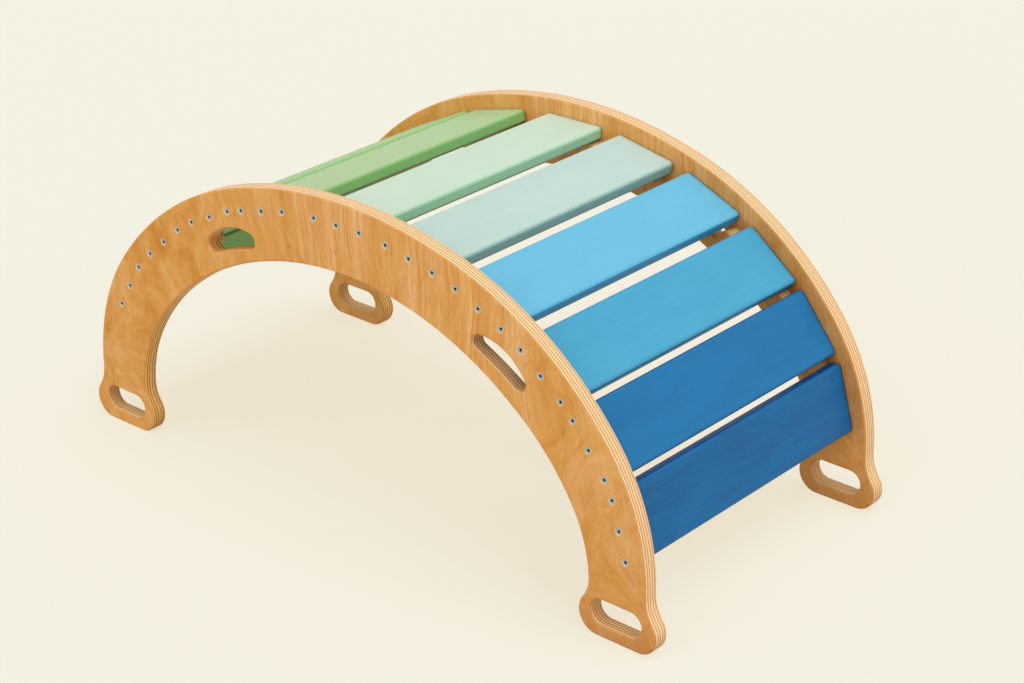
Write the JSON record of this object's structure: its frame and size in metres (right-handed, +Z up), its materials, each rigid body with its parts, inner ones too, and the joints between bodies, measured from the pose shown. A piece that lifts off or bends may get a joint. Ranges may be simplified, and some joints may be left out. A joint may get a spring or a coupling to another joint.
{
  "type": "climbing arch",
  "caption": "Wooden rocker arch for children: two curved plywood side panels with hand and foot slots, joined by painted slats to climb over, crawl under or rock on.",
  "frame": {"origin": "on the floor under the middle of the arch, at the centre of the footprint", "axes": "+X along the arch toward the blue slats, +Y across it from the front panel to the rear one, +Z up"},
  "size_m": [0.9498, 0.46, 0.4279],
  "materials": {
    "birch_ply": "clear satin varnish on birch plywood",
    "paint_deep_green": "satin paint on wood",
    "paint_leaf_green": "satin paint on wood",
    "paint_soft_green": "satin paint on wood",
    "paint_light_green": "satin paint on wood",
    "paint_mint": "satin paint on wood",
    "paint_grey_green": "satin paint on wood",
    "paint_light_blue": "satin paint on wood",
    "paint_sky_blue": "satin paint on wood",
    "paint_blue": "satin paint on wood",
    "paint_dark_blue": "satin paint on wood",
    "screw_steel": "zinc-plated steel"
  },
  "bodies": {
    "root": {"side_panel_front": "birch_ply", "side_panel_rear": "birch_ply", "rib_front_left": "birch_ply", "rib_front_crown": "birch_ply", "rib_front_right": "birch_ply", "rib_rear_left": "birch_ply", "rib_rear_crown": "birch_ply", "rib_rear_right": "birch_ply", "slat_01": "paint_deep_green", "slat_02": "paint_leaf_green", "slat_03": "paint_soft_green", "slat_04": "paint_light_green", "slat_05": "paint_mint", "slat_06": "paint_grey_green", "slat_07": "paint_light_blue", "slat_08": "paint_sky_blue", "slat_09": "paint_blue", "slat_10": "paint_dark_blue", "screws_slat_01": "screw_steel", "screws_slat_02": "screw_steel", "screws_slat_03": "screw_steel", "screws_slat_04": "screw_steel", "screws_slat_05": "screw_steel", "screws_slat_06": "screw_steel", "screws_slat_07": "screw_steel", "screws_slat_08": "screw_steel", "screws_slat_09": "screw_steel", "screws_slat_10": "screw_steel"}
  },
  "joints": []
}
